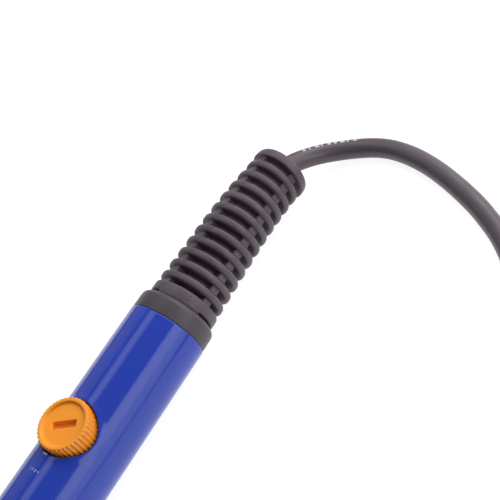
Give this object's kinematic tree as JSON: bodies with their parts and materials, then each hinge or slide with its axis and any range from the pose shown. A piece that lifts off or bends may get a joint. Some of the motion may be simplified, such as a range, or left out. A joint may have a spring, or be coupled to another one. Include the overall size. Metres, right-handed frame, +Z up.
{
  "type": "temperature-controlled soldering iron",
  "caption": "Pencil soldering iron with a blue tube handle, an orange temperature dial set in its crown, a ringed black strain relief, a chisel tip and a coiled mains cord.",
  "frame": {"origin": "On the table under the middle of the iron's length and width, measured without the cord and plug.", "axes": "+X runs along the handle to the tip, +Y to the left of someone who looks from the cord to the tip, +Z up through the dial."},
  "size_m": [0.2642, 0.1711, 0.026],
  "materials": {
    "blue_plastic": "smooth moulded plastic with a soft gloss",
    "orange_plastic": "moulded plastic, satin gloss on the face, fine knurls on the edge",
    "black_nylon": "moulded nylon with a fine satin texture",
    "black_boot": "soft moulded plastic, semi-matte",
    "grip_rubber": "soft rubber, matte, grooved",
    "grey_plastic": "moulded plastic",
    "cord_black": "soft extruded jacket, semi-gloss",
    "core_black": "extruded insulation",
    "core_white": "extruded insulation",
    "core_green": "extruded insulation",
    "black_plug": "moulded soft plastic with a satin texture",
    "tie_wire": "flat plastic-covered wire",
    "blade_brass": "stamped brass, lightly tarnished",
    "nickel": "nickel plate, slightly dull",
    "screw_steel": "turned and plated",
    "nut_steel": "turned, with straight knurls",
    "barrel_steel": "drawn stainless tube, straw tint near the tip",
    "iron_plate": "iron-plated copper with a tinned chisel end",
    "white_ceramic": "sintered ceramic, smooth",
    "cream_ceramic": "unglazed ceramic, dull",
    "glass_sleeve": "woven glass-fibre sleeve",
    "board": "glass-epoxy board with solder mask",
    "pot_case": "moulded case",
    "black_epoxy": "moulded epoxy",
    "red_film": "dipped epoxy coat",
    "capacitor_sleeve": "shrink sleeve",
    "tan_resistor": "lacquered body"
  },
  "bodies": {
    "handle": {"handle_tube": "blue_plastic", "grip_sleeve": "grip_rubber", "hand_guard": "black_nylon", "rear_cap": "black_nylon", "strain_relief": "black_boot", "pot_body": "pot_case", "circuit_board": "board", "triac": "black_epoxy", "control_chip": "black_epoxy", "film_capacitor": "red_film", "smoothing_capacitor": "capacitor_sleeve", "resistors": "tan_resistor", "diodes": "black_epoxy", "cord_clamp_lower": "grey_plastic", "cord_clamp_upper": "grey_plastic", "cord_clamp_screws": "screw_steel", "cord_jacket": "cord_black", "core_live": "core_black", "core_neutral": "core_white", "core_earth": "core_green", "threaded_bush": "nickel", "bush_screws": "screw_steel", "ceramic_heater": "white_ceramic", "heater_holder": "cream_ceramic", "heater_leads": "nickel", "lead_sleeves": "glass_sleeve", "earth_spring": "screw_steel", "cord_lead": "cord_black", "cord_coil": "cord_black", "cord_tail": "cord_black", "cord_tie": "tie_wire", "plug_body": "black_plug", "plug_strain_relief": "black_plug", "plug_blades": "blade_brass", "plug_earth_pin": "blade_brass"},
    "dial": {"dial_knob": "orange_plastic", "pot_shaft": "nickel"},
    "barrel": {"tip_barrel": "barrel_steel"},
    "nut": {"barrel_nut": "nut_steel"},
    "tip": {"chisel_tip": "iron_plate"}
  },
  "joints": [
    {"name": "dial_turn", "type": "hinge", "parent": "handle", "child": "dial", "pos_m": [-0.0224, 0, 0.02], "axis": [0, 0, 1], "range_deg": [-140, 140]},
    {"name": "barrel_slide", "type": "slide", "parent": "handle", "child": "barrel", "axis": [1, 0, 0], "range_m": [0, 0.006]},
    {"name": "nut_turn", "type": "hinge", "parent": "barrel", "child": "nut", "pos_m": [0.065, 0, 0.011], "axis": [1, 0, 0], "range_deg": [0, 2161]},
    {"name": "tip_turn", "type": "hinge", "parent": "barrel", "child": "tip", "pos_m": [0.09, 0, 0.011], "axis": [1, 0, 0], "continuous": true}
  ],
  "couplings": [
    {"joint": "nut_turn", "follows": "barrel_slide", "rad_per_m": 6283.2}
  ]
}
